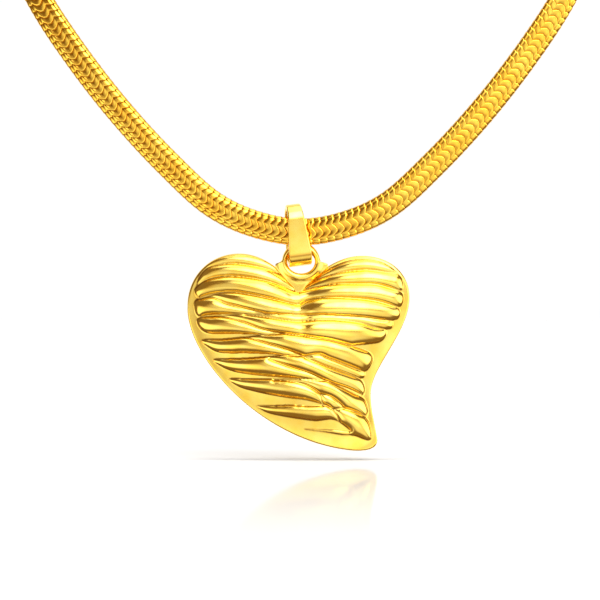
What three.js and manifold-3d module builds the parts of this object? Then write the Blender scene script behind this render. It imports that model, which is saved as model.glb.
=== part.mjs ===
// Pendant necklace: a ribbed, puffed heart hangs from a folded bail on a flat snake chain that closes
// behind the neck with a lobster clasp and an extender. Units are millimetres.
//
// Frame: the origin is the middle of the chain's front, where the bail hangs. +Z is up, the front faces
// -Y and the wearer is on the +Y side. "left" is -X and "right" is +X, as seen from the front.
import * as THREE from 'three';
import { mergeVertices } from 'three/addons/utils/BufferGeometryUtils.js';
import Module from 'manifold-3d';

const wasm = await Module();
wasm.setup();

// ---- Driving dimensions ----

const GAP = 0.3; // between pieces that meet inside turned groups
const FIT = 0.05; // between pieces that lie flat on each other

const CHAIN_WIDTH = 4.0;
const CHAIN_THICKNESS = 1.3;
const HINGE_ALONG = [70, 106, 142]; // where the chain flexes, measured along it from the middle
const CHAIN_STEP = 3.6;

const HEART_CENTRE = new THREE.Vector2(0.5, -16.5); // x, z
const HEART_BACK_Y = 1.3;
const FLANGE_HEIGHT = 0.9;
const DOME_HEIGHT = 3.0;
const DOME_EDGE = 0.93; // share of the outline where the dome meets the flange
const SHELL_WALL = 0.5;
const BACK_PLATE_THICKNESS = 0.6;
const RIB_PITCH = 2.75;
const RIB_HEIGHT = 0.45;
const RIB_SLOPE = -0.2; // radians from level, falling to the right

const EYELET_Z = -4.27;
const EYELET_HALF_THICKNESS = 0.55;
const EYELET_HOLE_R = 2.0;
const EYELET_R = 2.7;
const EYELET_FOOT_R = 3.55;
const EYELET_TOP_SHARE = 0.72; // the upper half is flatter than the lower half
const EYELET_LOW_SHARE = 0.88;

const STRAP = 0.7;
const BAIL_TOP = 4.1;
const BAIL_BOTTOM = -4.95;
const BAIL_HALF_DEPTH = 2.25;
const BAIL_LOW_HALF_DEPTH = 2.0;
const BAIL_TOP_WIDTH = 2.1;
const BAIL_BOTTOM_WIDTH = 3.3;
const BAIL_LEAN = 0.13; // radians, the top leans to the left
const BAIL_TURN = 0.12; // radians, the front faces a little to the right
const BAIL_SHIFT = -0.16; // millimetres to the left of the eyelet's middle

const CAP_LENGTH = 5.2;
const CAP_WIDTH = 5.4;
const CAP_THICKNESS = 2.7;
const CAP_POCKET = 2.6;
const CAP_EYE = 6.4; // from the cap's mouth to the middle of its eye
const RING_R = 1.6;
const RING_WIRE_R = 0.35;
const RING_DROOP = Math.PI / 4; // the right-hand ring hangs down with the extender

const CLASP_THICKNESS = 2.0;
const CLASP_EYE_HALF = 0.6;
const CLASP_SLOT = 1.0;
const LEVER_THICKNESS = 0.6;
const LEVER_PIVOT = new THREE.Vector2(2.9, 1.6);
const RIVET_R = 0.3;

const LINK_COUNT = 10;
const LINK_R = 1.3;
const LINK_WIRE_R = 0.3;
const LINK_STRETCH = 1.1; // half the straight length of a link
const LINK_PLAY = 0.1;
const LINK_PITCH = 2 * (LINK_R + LINK_STRETCH) - 2 * LINK_WIRE_R - LINK_PLAY;
const DROP_R = 1.7;
const DROP_LOOP_R = 0.95;

const GOLD = { color: 0xe6b23a, roughness: 0.16, metalness: 1 };
const GOLD_DARK = { color: 0xd09a2c, roughness: 0.28, metalness: 1 };
const STEEL = { color: 0xb9b9bd, roughness: 0.3, metalness: 1 };

// ---- Helpers ----

function enclosedVolume(geometry) {
  const position = geometry.getAttribute('position');
  const index = geometry.getIndex();
  const corners = [new THREE.Vector3(), new THREE.Vector3(), new THREE.Vector3()];
  let volume = 0;
  for (let i = 0; i < index.count; i += 3) {
    corners.forEach((corner, k) => corner.fromBufferAttribute(position, index.getX(i + k)));
    volume += corners[0].dot(corners[1].clone().cross(corners[2])) / 6;
  }
  return volume;
}

// One closed skin of shared vertices, with its faces pointing out.
function closed(geometry) {
  const source = geometry.clone();
  source.deleteAttribute('normal');
  source.deleteAttribute('uv');
  const merged = mergeVertices(source, 1e-4);
  const index = Array.from(merged.getIndex().array);
  const kept = [];
  for (let i = 0; i < index.length; i += 3) {
    const [a, b, c] = index.slice(i, i + 3);
    if (a !== b && b !== c && c !== a) {
      kept.push(a, b, c);
    }
  }
  merged.setIndex(kept);
  if (enclosedVolume(merged) < 0) {
    for (let i = 0; i < kept.length; i += 3) {
      [kept[i + 1], kept[i + 2]] = [kept[i + 2], kept[i + 1]];
    }
    merged.setIndex(kept);
  }
  return merged;
}

function toSolid(geometry) {
  const skin = closed(geometry);
  const vertProperties = new Float32Array(skin.getAttribute('position').array);
  const triVerts = new Uint32Array(skin.getIndex().array);
  return new wasm.Manifold(new wasm.Mesh({ numProp: 3, vertProperties, triVerts }));
}

function toGeometry(solid) {
  const mesh = solid.getMesh();
  const geometry = new THREE.BufferGeometry();
  geometry.setAttribute('position', new THREE.BufferAttribute(mesh.vertProperties.slice(), 3));
  geometry.setIndex(new THREE.BufferAttribute(mesh.triVerts.slice(), 1));
  return geometry;
}

function piece(name, geometry, finish) {
  const mesh = new THREE.Mesh(geometry, new THREE.MeshStandardMaterial(finish));
  mesh.name = name;
  return mesh;
}

function flatPiece(shape, thickness, curveSegments = 6) {
  const geometry = new THREE.ExtrudeGeometry(shape, { depth: thickness, bevelEnabled: false, curveSegments });
  return geometry.translate(0, 0, -thickness / 2);
}

function circleHole(x, y, radius) {
  return new THREE.Path().absarc(x, y, radius, 0, 2 * Math.PI, true);
}

// ---- The chain's route ----

// From the middle of the front to the right-hand end, chosen by hand; the left side mirrors it.
const HALF_ROUTE = [
  [0, 0, 0],
  [6.5, 0, 1.1],
  [12.6, 0, 3.9],
  [19.5, 0, 10.1],
  [26.3, 0, 17.5],
  [32.6, 0.1, 25.6],
  [38, 0.5, 33.8],
  [42.6, 2, 43],
  [46.4, 4.5, 53.5],
  [49.2, 8.2, 64.5],
  [50.6, 13.2, 76],
  [50.4, 19.4, 87.5],
  [48.3, 26.3, 98.3],
  [44.3, 32.8, 107.7],
  [38.6, 38.6, 115],
  [31.2, 43.2, 120.6],
  [22.4, 46.4, 124],
  [12.8, 48.3, 125.6],
];

const mirrored = HALF_ROUTE.slice(1).reverse().map(([x, y, z]) => new THREE.Vector3(-x, y, z));
const ROUTE = new THREE.CatmullRomCurve3([
  ...mirrored,
  ...HALF_ROUTE.map(([x, y, z]) => new THREE.Vector3(x, y, z)),
]);
ROUTE.arcLengthDivisions = 4000;
const ROUTE_LENGTH = ROUTE.getLength();
const HALF_LENGTH = ROUTE_LENGTH / 2;

// Point, tangent, outward face normal and width axis at a signed distance from the front's middle.
function chainFrame(along) {
  const share = THREE.MathUtils.clamp((along + HALF_LENGTH) / ROUTE_LENGTH, 0, 1);
  const point = ROUTE.getPointAt(share);
  const tangent = ROUTE.getTangentAt(share);
  const normal = new THREE.Vector3(tangent.y, -tangent.x, 0).normalize();
  const width = normal.clone().cross(tangent).normalize();
  return { point, tangent, normal, width };
}

// A stretch of the chain whose flat section keeps its face turned away from the wearer.
class ChainStretch extends THREE.Curve {
  constructor(from, to) {
    super();
    this.from = from;
    this.to = to;
    this.arcLengthDivisions = 400;
  }

  getPoint(t, target = new THREE.Vector3()) {
    return target.copy(chainFrame(this.from + (this.to - this.from) * t).point);
  }

  computeFrenetFrames(segments) {
    const frames = { tangents: [], normals: [], binormals: [] };
    for (let i = 0; i <= segments; i += 1) {
      const { tangent, normal, width } = chainFrame(this.from + ((this.to - this.from) * i) / segments);
      frames.tangents.push(tangent);
      frames.normals.push(normal);
      frames.binormals.push(width);
    }
    return frames;
  }
}

// The chain's flat section with rounded long edges: x is the thickness, y is the width.
function chainSection() {
  const half = CHAIN_THICKNESS / 2;
  const shoulder = CHAIN_WIDTH / 2 - half;
  const edge = CHAIN_WIDTH / 2;
  const section = new THREE.Shape();
  section.moveTo(-half, -shoulder);
  section.lineTo(-half * 0.5, -edge);
  section.lineTo(half * 0.5, -edge);
  section.lineTo(half, -shoulder);
  section.lineTo(half, shoulder);
  section.lineTo(half * 0.5, edge);
  section.lineTo(-half * 0.5, edge);
  section.lineTo(-half, shoulder);
  section.closePath();
  return section;
}

function chainPiece(name, from, to) {
  const steps = Math.round((to - from) / CHAIN_STEP);
  const extrudePath = new ChainStretch(from, to);
  const geometry = new THREE.ExtrudeGeometry(chainSection(), { steps, extrudePath, bevelEnabled: false });
  return piece(name, closed(geometry), GOLD);
}

function chainPieces() {
  const joint = GAP / 2;
  const stops = [...HINGE_ALONG, HALF_LENGTH + joint];
  const pieces = [chainPiece('chain_front', -HINGE_ALONG[0] + joint, HINGE_ALONG[0] - joint)];
  for (let k = 0; k < HINGE_ALONG.length; k += 1) {
    const near = stops[k] + joint;
    const far = stops[k + 1] - joint;
    pieces.push(chainPiece(`chain_left_${k + 1}`, -far, -near));
    pieces.push(chainPiece(`chain_right_${k + 1}`, near, far));
  }
  return pieces;
}

// ---- The heart ----

// The heart's outline from the cleft, anticlockwise as seen from the front: x across, y up.
function heartOutline() {
  const outline = new THREE.Shape();
  outline.moveTo(-0.4, -8.4);
  outline.bezierCurveTo(-2.6, -5.6, -5.4, -3.1, -9.0, -3.1);
  outline.bezierCurveTo(-13.2, -3.1, -16.5, -6.3, -16.5, -10.7);
  outline.bezierCurveTo(-16.9, -17.8, -6.0, -30.5, 7.5, -31.75);
  outline.bezierCurveTo(10.0, -31.9, 11.3, -31.3, 11.05, -30.0);
  outline.bezierCurveTo(10.85, -28.3, 10.0, -25.5, 10.15, -23.2);
  outline.bezierCurveTo(10.35, -19.5, 15.75, -14.5, 15.75, -9.5);
  outline.bezierCurveTo(15.75, -5.6, 12.5, -3.4, 8.8, -3.45);
  outline.bezierCurveTo(5.4, -3.4, 2.0, -6.0, -0.4, -8.4);
  return outline;
}

// Height of the ribs that cross the dome, from rounded backs to sharp creases.
function ribHeight(x, z) {
  const across = (z - HEART_CENTRE.y) * Math.cos(RIB_SLOPE) - x * Math.sin(RIB_SLOPE);
  const bend = 0.5 * Math.sin(x / 4);
  return RIB_HEIGHT * (Math.abs(Math.sin((Math.PI * (across + bend)) / RIB_PITCH)) - 0.6);
}

function domeHeight(share, x, z) {
  const inside = 1 - (share / DOME_EDGE) ** 2;
  if (inside <= 0) {
    return 0;
  }
  const puff = DOME_HEIGHT * Math.sqrt(inside) * (0.6 + 0.4 * inside);
  return puff + ribHeight(x, z) * Math.min(1, 3 * inside);
}

// Bends a turned form of radius 1 into the heart: each spoke reaches to the outline.
function bendToHeart(lathe, heightAt) {
  const outline = heartOutline();
  const skin = closed(lathe);
  const position = skin.getAttribute('position');
  for (let i = 0; i < position.count; i += 1) {
    const [sideways, level, ahead] = [position.getX(i), position.getY(i), position.getZ(i)];
    const share = Math.hypot(sideways, ahead);
    const turn = (Math.atan2(sideways, ahead) / (2 * Math.PI) + 1) % 1;
    const rim = outline.getPointAt(turn);
    const x = THREE.MathUtils.lerp(HEART_CENTRE.x, rim.x, share);
    const z = THREE.MathUtils.lerp(HEART_CENTRE.y, rim.y, share);
    position.setXYZ(i, x, HEART_BACK_Y - heightAt(level, share, x, z), z);
  }
  return closed(skin);
}

function frontShell() {
  const profile = [];
  const rings = 13;
  for (let i = 0; i <= rings; i += 1) {
    profile.push(new THREE.Vector2(DOME_EDGE * Math.sin((Math.PI / 2) * (i / rings)), 2));
  }
  profile.push(new THREE.Vector2(1, 1.5), new THREE.Vector2(1, 0.15), new THREE.Vector2(0.985, 0));
  profile.push(new THREE.Vector2(0.95, 0));
  const inner = 5;
  for (let i = inner; i >= 0; i -= 1) {
    profile.push(new THREE.Vector2(DOME_EDGE * 0.97 * Math.sin((Math.PI / 2) * (i / inner)), 3));
  }
  const lathe = new THREE.LatheGeometry(profile, 72);
  // Profile levels: 2 is the outer dome, 3 the inner dome, and anything less is part of the flange.
  return bendToHeart(lathe, (level, share, x, z) => {
    if (level > 2.5) {
      const puff = domeHeight(share, x, z) - ribHeight(x, z) * Math.min(1, 3 * (1 - (share / DOME_EDGE) ** 2));
      return FLANGE_HEIGHT - SHELL_WALL + Math.max(0, puff - RIB_HEIGHT);
    }
    return level > 1.75 ? FLANGE_HEIGHT + domeHeight(share, x, z) : (level / 1.5) * FLANGE_HEIGHT * 0.9;
  });
}

function backPlate() {
  const half = BACK_PLATE_THICKNESS;
  const profile = [
    new THREE.Vector2(0, 0),
    new THREE.Vector2(0.97, 0),
    new THREE.Vector2(0.985, -0.15),
    new THREE.Vector2(0.96, -half),
    new THREE.Vector2(0, -half),
  ];
  const lathe = new THREE.LatheGeometry(profile, 72);
  return bendToHeart(lathe, (level) => level - FIT);
}

// ---- The eyelet in the cleft ----

function eyelet() {
  const t = EYELET_HALF_THICKNESS;
  const profile = [
    new THREE.Vector2(EYELET_HOLE_R, t * 0.7),
    new THREE.Vector2(EYELET_HOLE_R + 0.15, t),
    new THREE.Vector2(EYELET_R - 0.1, t),
    new THREE.Vector2(EYELET_R, t * 0.6),
    new THREE.Vector2(EYELET_R + 0.12, -t * 0.2),
    new THREE.Vector2(EYELET_R + 0.05, -t),
    new THREE.Vector2(EYELET_HOLE_R + 0.15, -t),
    new THREE.Vector2(EYELET_HOLE_R, -t * 0.7),
    new THREE.Vector2(EYELET_HOLE_R, t * 0.7),
  ];
  const ring = closed(new THREE.LatheGeometry(profile, 32)); // the hole runs along Y
  const position = ring.getAttribute('position');
  for (let i = 0; i < position.count; i += 1) {
    const z = position.getZ(i);
    const share = z > 0 ? EYELET_TOP_SHARE : EYELET_LOW_SHARE;
    position.setXYZ(i, position.getX(i), -position.getY(i), EYELET_Z + z * share);
  }
  const foot = footBlock();
  return toGeometry(toSolid(ring).add(foot).subtract(heartKeepOut()));
}

// The block under the ring that fills the cleft, before the heart is cut out of it.
function footBlock() {
  const foot = new THREE.Shape();
  foot.moveTo(-EYELET_FOOT_R, -4.3);
  foot.quadraticCurveTo(-2.7, -4.0, -2.3, -3.2);
  foot.lineTo(-2.15, -4.6);
  foot.quadraticCurveTo(-1.7, -6.25, 0, -6.25);
  foot.quadraticCurveTo(1.7, -6.25, 2.15, -4.6);
  foot.lineTo(2.3, -3.2);
  foot.quadraticCurveTo(2.7, -4.0, EYELET_FOOT_R + 0.1, -4.3);
  foot.lineTo(0.4, -7.6);
  foot.lineTo(-1.0, -7.6);
  foot.closePath();
  const block = flatPiece(foot, 2 * EYELET_HALF_THICKNESS * 0.9, 5);
  return toSolid(block.rotateX(Math.PI / 2));
}

// The heart's outline as a prism, a little proud, so that what it cuts stays just clear of the heart.
function heartKeepOut() {
  const outline = heartOutline();
  const points = [];
  for (let i = 0; i < 144; i += 1) {
    const at = outline.getPointAt(i / 144);
    const along = outline.getTangentAt(i / 144);
    points.push(new THREE.Vector2(at.x - along.y * -FIT * 2, at.y - along.x * FIT * 2));
  }
  const prism = flatPiece(new THREE.Shape(points), 12, 1);
  return toSolid(prism.rotateX(Math.PI / 2));
}

// ---- The bail ----

// The side view of the folded strap, with x towards the back and y up.
function bailLoop(inset) {
  const top = BAIL_TOP - inset;
  const low = BAIL_BOTTOM + inset;
  const wide = BAIL_HALF_DEPTH - inset;
  const narrow = BAIL_LOW_HALF_DEPTH - inset;
  const loop = new THREE.Path();
  loop.moveTo(wide, top - wide);
  loop.absarc(0, top - wide, wide, 0, Math.PI, false);
  loop.lineTo(-narrow, low + narrow);
  loop.absarc(0, low + narrow, narrow, Math.PI, 2 * Math.PI, false);
  loop.lineTo(wide, top - wide);
  return loop;
}

function bail() {
  const strap = new THREE.Shape(bailLoop(0).getPoints(8));
  strap.holes.push(new THREE.Path(bailLoop(STRAP).getPoints(8)));
  const band = flatPiece(strap, 6, 8).rotateY(Math.PI / 2).rotateX(Math.PI / 2);
  const taper = new THREE.Shape([
    new THREE.Vector2(-BAIL_TOP_WIDTH / 2, BAIL_TOP + 1),
    new THREE.Vector2(-BAIL_BOTTOM_WIDTH / 2, -3),
    new THREE.Vector2(-BAIL_BOTTOM_WIDTH / 2, BAIL_BOTTOM - 1),
    new THREE.Vector2(BAIL_BOTTOM_WIDTH / 2, BAIL_BOTTOM - 1),
    new THREE.Vector2(BAIL_BOTTOM_WIDTH / 2, -3),
    new THREE.Vector2(BAIL_TOP_WIDTH / 2, BAIL_TOP + 1),
  ]);
  const wedge = flatPiece(taper, 8).rotateX(Math.PI / 2);
  const solid = toSolid(band).intersect(toSolid(wedge));
  const geometry = toGeometry(solid);
  geometry.translate(0, 0, -EYELET_Z);
  geometry.rotateY(-BAIL_LEAN).rotateZ(BAIL_TURN);
  return geometry.translate(BAIL_SHIFT, 0, EYELET_Z);
}

// ---- The ends of the chain ----

// A cap that holds the chain's end: x runs from its mouth to its eye, y is the width, z the thickness.
function endCap() {
  const half = CAP_WIDTH / 2;
  const outline = new THREE.Shape();
  outline.moveTo(0, -half);
  outline.lineTo(CAP_LENGTH - 1.6, -half);
  outline.quadraticCurveTo(CAP_LENGTH - 0.4, -half, CAP_EYE - 0.5, -1.45);
  outline.absarc(CAP_EYE, 0, 1.5, -1.9, 1.9, false);
  outline.quadraticCurveTo(CAP_LENGTH - 0.4, half, CAP_LENGTH - 1.6, half);
  outline.lineTo(0, half);
  outline.closePath();
  outline.holes.push(circleHole(CAP_EYE, 0, 0.85));
  const body = toSolid(flatPiece(outline, CAP_THICKNESS, 5));
  const pocket = new THREE.BoxGeometry(2 * CAP_POCKET, CHAIN_WIDTH + 2 * GAP, CHAIN_THICKNESS + 2 * GAP);
  const above = new THREE.BoxGeometry(6, 8, 2).translate(CAP_EYE - 1.7 + 3, 0, 0.5 + 1);
  const below = above.clone().translate(0, 0, -3);
  return toGeometry(body.subtract(toSolid(pocket)).subtract(toSolid(above)).subtract(toSolid(below)));
}

// A ring that stands across the cap's eye: it lies in the plane of x and z.
function jumpRing() {
  return closed(new THREE.TorusGeometry(RING_R, RING_WIRE_R, 8, 18).rotateX(Math.PI / 2));
}

// ---- The lobster clasp: x runs from its eye to its nose, the lever is on the +y side ----

function claspBody() {
  const arm = new THREE.Shape();
  arm.moveTo(-1.4, 0);
  arm.quadraticCurveTo(-1.4, -1.4, 0.4, -1.6);
  arm.bezierCurveTo(3.0, -2.6, 8.6, -3.2, 9.4, -0.4);
  arm.quadraticCurveTo(9.7, 2.0, 7.72, 2.25);
  arm.lineTo(7.72, 1.05);
  arm.quadraticCurveTo(8.4, 0.4, 8.0, -0.5);
  arm.bezierCurveTo(7.4, -1.8, 4.9, -1.7, 4.3, -0.6);
  arm.quadraticCurveTo(3.9, 0.4, 4.3, 1.2);
  arm.lineTo(4.0, 2.4);
  arm.quadraticCurveTo(1.2, 2.3, 0.4, 1.6);
  arm.quadraticCurveTo(-1.4, 1.4, -1.4, 0);
  arm.holes.push(circleHole(0, 0, 0.8));
  const slot = new THREE.BoxGeometry(3.4, 3.6, CLASP_SLOT).translate(1.45 + 1.7, -0.15 + 1.8, 0);
  const bore = new THREE.CylinderGeometry(RIVET_R + 0.1, RIVET_R + 0.1, 4, 12);
  bore.rotateX(Math.PI / 2).translate(LEVER_PIVOT.x, LEVER_PIVOT.y, 0);
  const above = new THREE.BoxGeometry(2.6, 6, 1).translate(0.9 - 1.3, 0, CLASP_EYE_HALF + 0.5);
  const below = above.clone().translate(0, 0, -2 * CLASP_EYE_HALF - 1);
  const body = toSolid(flatPiece(arm, CLASP_THICKNESS, 6));
  const thinned = body.subtract(toSolid(above)).subtract(toSolid(below));
  return toGeometry(thinned.subtract(toSolid(slot)).subtract(toSolid(bore)));
}

function claspLever() {
  const lever = new THREE.Shape();
  lever.moveTo(2.1, 1.2);
  lever.quadraticCurveTo(2.8, 0.6, 3.6, 0.75);
  lever.lineTo(7.42, 1.1);
  lever.lineTo(7.42, 2.25);
  lever.quadraticCurveTo(5.6, 2.9, 4.2, 2.8);
  lever.quadraticCurveTo(3.4, 3.1, 3.2, 4.1);
  lever.lineTo(2.3, 4.1);
  lever.quadraticCurveTo(1.9, 2.6, 2.1, 1.2);
  lever.holes.push(circleHole(LEVER_PIVOT.x, LEVER_PIVOT.y, RIVET_R + 0.12));
  return closed(flatPiece(lever, LEVER_THICKNESS, 5));
}

function claspRivet() {
  const rivet = new THREE.CylinderGeometry(RIVET_R, RIVET_R, CLASP_THICKNESS, 12);
  return closed(rivet.rotateX(Math.PI / 2).translate(LEVER_PIVOT.x, LEVER_PIVOT.y, 0));
}

function claspSpring() {
  const leaf = new THREE.Shape();
  leaf.moveTo(1.9, -0.1);
  leaf.quadraticCurveTo(2.8, 0.32, 3.7, 0.0);
  leaf.lineTo(3.7, 0.12);
  leaf.quadraticCurveTo(2.8, 0.44, 1.9, 0.02);
  leaf.closePath();
  return closed(flatPiece(leaf, LEVER_THICKNESS, 5));
}

// ---- The extender ----

// A long link: a round one whose upper and lower halves are drawn apart along y.
function extenderLink() {
  const link = closed(new THREE.TorusGeometry(LINK_R, LINK_WIRE_R, 8, 14).rotateZ(Math.PI / 14));
  const position = link.getAttribute('position');
  for (let i = 0; i < position.count; i += 1) {
    const y = position.getY(i);
    position.setY(i, y + Math.sign(y) * LINK_STRETCH);
  }
  return link;
}

// The bead at the extender's end, with its loop at the origin; it hangs towards -y.
function drop() {
  const loop = new THREE.TorusGeometry(DROP_LOOP_R, LINK_WIRE_R, 8, 14);
  const bead = new THREE.SphereGeometry(DROP_R, 16, 12).scale(1, 1.25, 1);
  bead.translate(0, -DROP_LOOP_R - 1.25 * DROP_R + FIT, 0);
  return toGeometry(toSolid(loop).add(toSolid(bead)));
}

// ---- Assembly ----

function placed(mesh, x, y, z) {
  mesh.position.set(x, y, z);
  return mesh;
}

// A group at a chain end whose x axis leads away from the chain, y is the width and z faces outwards.
function endGroup(side) {
  const { point, tangent, normal } = chainFrame(side * HALF_LENGTH);
  const away = tangent.multiplyScalar(side);
  const across = normal.clone().cross(away);
  const group = new THREE.Group();
  group.setRotationFromMatrix(new THREE.Matrix4().makeBasis(away, across, normal));
  group.position.copy(point);
  return group;
}

const CAP_START = -CAP_POCKET + GAP; // the cap's mouth reaches back over the chain's end
const EYE_AT = CAP_START + CAP_EYE; // the middle of the cap's eye, from the chain's end
const RING_AT = EYE_AT + RING_R; // the middle of the left-hand jump ring
const CLASP_AT = RING_AT + RING_R;

function leftEnd() {
  const group = endGroup(-1);
  group.add(placed(piece('end_cap_left', endCap(), GOLD), CAP_START, 0, 0));
  group.add(placed(piece('jump_ring_left', jumpRing(), GOLD), RING_AT, 0, 0));
  group.add(placed(piece('clasp_body', claspBody(), GOLD), CLASP_AT, 0, 0));
  group.add(placed(piece('clasp_lever', claspLever(), GOLD), CLASP_AT, 0, 0));
  group.add(placed(piece('clasp_rivet', claspRivet(), GOLD_DARK), CLASP_AT, 0, 0));
  group.add(placed(piece('clasp_spring', claspSpring(), STEEL), CLASP_AT, 0, 0));
  return group;
}

function rightEnd() {
  const group = endGroup(1);
  group.add(placed(piece('end_cap_right', endCap(), GOLD), CAP_START, 0, 0));
  const ring = piece('jump_ring_right', jumpRing(), GOLD);
  ring.rotation.z = -RING_DROOP;
  const away = RING_R * Math.cos(RING_DROOP);
  group.add(placed(ring, EYE_AT + away, -RING_R * Math.sin(RING_DROOP), 0));
  return group;
}

// The links hang straight down from the right-hand jump ring, each turned a quarter from the last.
function extender() {
  const end = endGroup(1);
  end.updateMatrixWorld(true);
  const away = 2 * RING_R * Math.cos(RING_DROOP);
  const ringLow = end.localToWorld(new THREE.Vector3(EYE_AT + away, -2 * RING_R * Math.sin(RING_DROOP), 0));
  const group = new THREE.Group();
  const half = LINK_R + LINK_STRETCH;
  const firstDown = half - RING_WIRE_R - LINK_WIRE_R - LINK_PLAY;
  group.position.copy(ringLow).add(new THREE.Vector3(0, 0, -firstDown));
  for (let i = 0; i < LINK_COUNT; i += 1) {
    const name = `extender_link_${String(i + 1).padStart(2, '0')}`;
    const link = piece(name, extenderLink(), GOLD);
    link.rotation.set(Math.PI / 2, i % 2 === 0 ? 0 : Math.PI / 2, 0);
    group.add(placed(link, 0, 0, -i * LINK_PITCH));
  }
  const bead = piece('extender_drop', drop(), GOLD);
  bead.rotation.set(Math.PI / 2, 0, 0);
  const lastLow = -(LINK_COUNT - 1) * LINK_PITCH - half;
  group.add(placed(bead, 0, 0, lastLow - DROP_LOOP_R + 2 * LINK_WIRE_R + LINK_PLAY));
  return group;
}

const necklace = new THREE.Group();
necklace.add(...chainPieces());
necklace.add(piece('bail', bail(), GOLD));
necklace.add(piece('pendant_eyelet', eyelet(), GOLD));
necklace.add(piece('heart_front_shell', frontShell(), GOLD));
necklace.add(piece('heart_back_plate', backPlate(), GOLD_DARK));
necklace.add(leftEnd(), rightEnd(), extender());

export default necklace;
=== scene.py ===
"""A pendant necklace: a ribbed gold heart on a folded bail and a flat snake chain.

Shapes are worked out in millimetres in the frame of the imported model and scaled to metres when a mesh
is made. The front faces -Y, +Z is up, and the origin is the middle of the chain's front.
"""

import math

import bmesh
import bpy
import numpy as np
from mathutils import Matrix, Vector


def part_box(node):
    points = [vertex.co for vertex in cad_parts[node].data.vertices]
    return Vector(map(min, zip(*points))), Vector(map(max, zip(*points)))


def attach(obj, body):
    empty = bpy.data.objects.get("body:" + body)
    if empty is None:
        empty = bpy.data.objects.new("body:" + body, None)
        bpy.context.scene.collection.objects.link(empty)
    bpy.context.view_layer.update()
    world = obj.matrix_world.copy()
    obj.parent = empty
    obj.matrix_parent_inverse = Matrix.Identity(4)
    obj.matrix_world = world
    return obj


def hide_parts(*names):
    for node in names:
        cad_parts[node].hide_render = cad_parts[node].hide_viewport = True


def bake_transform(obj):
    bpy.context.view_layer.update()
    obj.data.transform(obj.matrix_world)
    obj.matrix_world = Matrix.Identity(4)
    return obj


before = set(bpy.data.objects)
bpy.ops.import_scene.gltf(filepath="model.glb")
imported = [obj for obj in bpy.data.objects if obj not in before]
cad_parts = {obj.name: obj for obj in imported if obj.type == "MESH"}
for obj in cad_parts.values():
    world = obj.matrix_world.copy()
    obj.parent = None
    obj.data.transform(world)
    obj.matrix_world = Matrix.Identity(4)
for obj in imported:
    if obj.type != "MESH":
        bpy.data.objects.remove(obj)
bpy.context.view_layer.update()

MM = 0.001

# ---- Driving dimensions, in millimetres ----

CHAIN_WIDTH = 4.0
CHAIN_THICKNESS = 1.3
LINK_PITCH = 1.04
HINGE_ALONG = (70.0, 106.0, 142.0)
STRETCH_ENDS = (52.0, 88.0, 124.0)  # where one drawn stretch of chain hands over to the next

HEART_CENTRE = np.array((0.5, -16.5))
HEART_BACK_Y = 1.3
FLANGE_HEIGHT = 0.9
DOME_HEIGHT = 2.3
RIB_ROUNDNESS = 0.74
RIB_POWER = 0.6
CELL = 0.06  # of the grid that the ribs are worked out on
SWELL_ROUNDS = 900
CREASE_SHADE = 0.85
CLEFT_SOFTNESS = 26  # how many spokes to each side even out the dome below the cleft
FIT = 0.05

EYELET_Z = -4.27

STRAP = 0.7
STRAP_BEVEL = 0.22
BAIL_TOP = 4.1
BAIL_BOTTOM = -4.95
BAIL_HALF_DEPTH = 2.25
BAIL_LOW_HALF_DEPTH = 2.0
BAIL_TOP_WIDTH = 1.85
BAIL_BOTTOM_WIDTH = 3.3
BAIL_LEAN = 0.13
BAIL_TURN = 0.12
BAIL_SHIFT = -0.16
BAIL_SHADE = 0.9  # how far the strap darkens where it begins to fold under

FLOOR_Z = -33.1

# ---- Mesh helpers ----


def mesh_object(name, points, faces, material, sharp=None):
    """A smooth-shaded mesh from points in millimetres; edges steeper than sharp degrees stay crisp."""
    mesh = bpy.data.meshes.new(name)
    mesh.from_pydata((np.asarray(points, float) * MM).tolist(), [], faces)
    mesh.validate()
    mesh.shade_smooth()
    if sharp is not None:
        mesh.set_sharp_from_angle(angle=math.radians(sharp))
    mesh.materials.append(material)
    obj = bpy.data.objects.new(name, mesh)
    bpy.context.scene.collection.objects.link(obj)
    return obj


def grid_faces(rows, columns, first=0, loop_rows=False):
    """Quads over rows of points whose columns close on themselves."""
    index = first + np.arange(rows * columns).reshape(rows, columns)
    if loop_rows:
        index = np.vstack((index, index[:1]))
    ahead = np.roll(index, -1, axis=1)
    quads = np.stack((index[:-1], ahead[:-1], ahead[1:], index[1:]), axis=-1)
    return quads.reshape(-1, 4).tolist()


def set_attribute(obj, name, values):
    layer = obj.data.attributes.new(name, "FLOAT", "POINT")
    layer.data.foreach_set("value", np.asarray(values, np.float32))


def smoothstep(x):
    x = np.clip(x, 0.0, 1.0)
    return x * x * (3.0 - 2.0 * x)


# ---- Materials ----


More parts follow.
